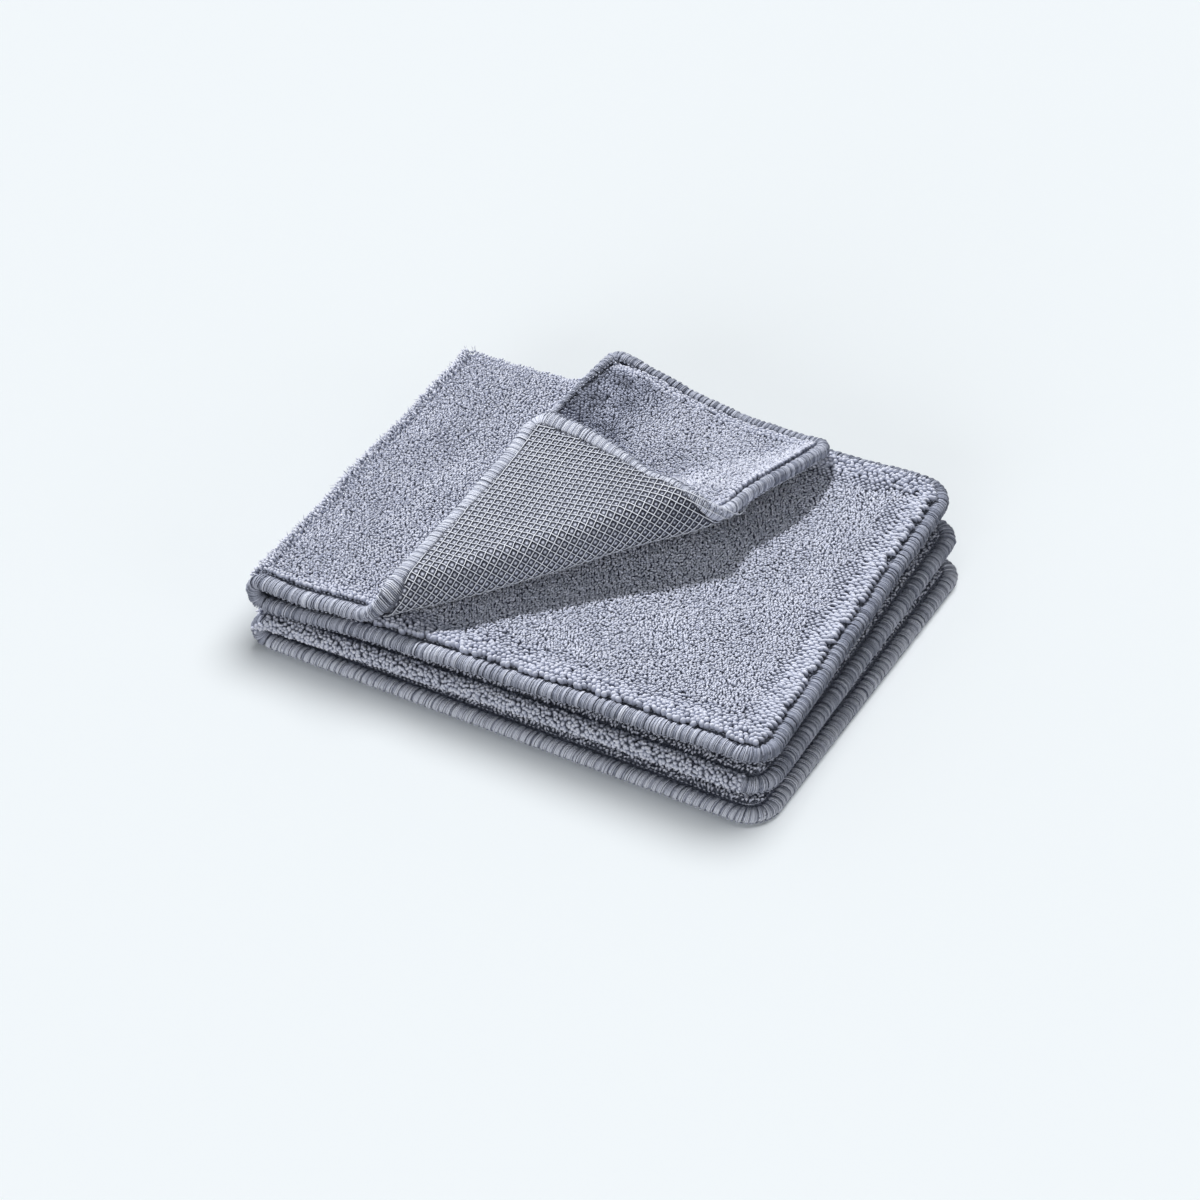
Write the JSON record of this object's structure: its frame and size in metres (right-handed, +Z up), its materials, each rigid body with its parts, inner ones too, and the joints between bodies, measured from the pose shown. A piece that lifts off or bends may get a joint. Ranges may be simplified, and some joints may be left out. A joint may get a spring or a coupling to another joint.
{
  "type": "folded dishcloth",
  "caption": "Thick pile dishcloth folded into a stack of layers with overlocked edges, the top front corner turned back over a loose roll so that a scouring mesh shows.",
  "frame": {"origin": "under the middle of the folded cloth, at the level it lies on", "axes": "+X runs along the front hems from the folds to the free side hems, +Y from the front hems to the back, +Z up"},
  "size_m": [0.2096, 0.1684, 0.0557],
  "materials": {
    "pile_fabric": "matt looped pile",
    "scouring_mesh": "open square net of light strands"
  },
  "bodies": {
    "root": {"cloth": "pile_fabric", "scour_mesh": "scouring_mesh"}
  },
  "joints": []
}
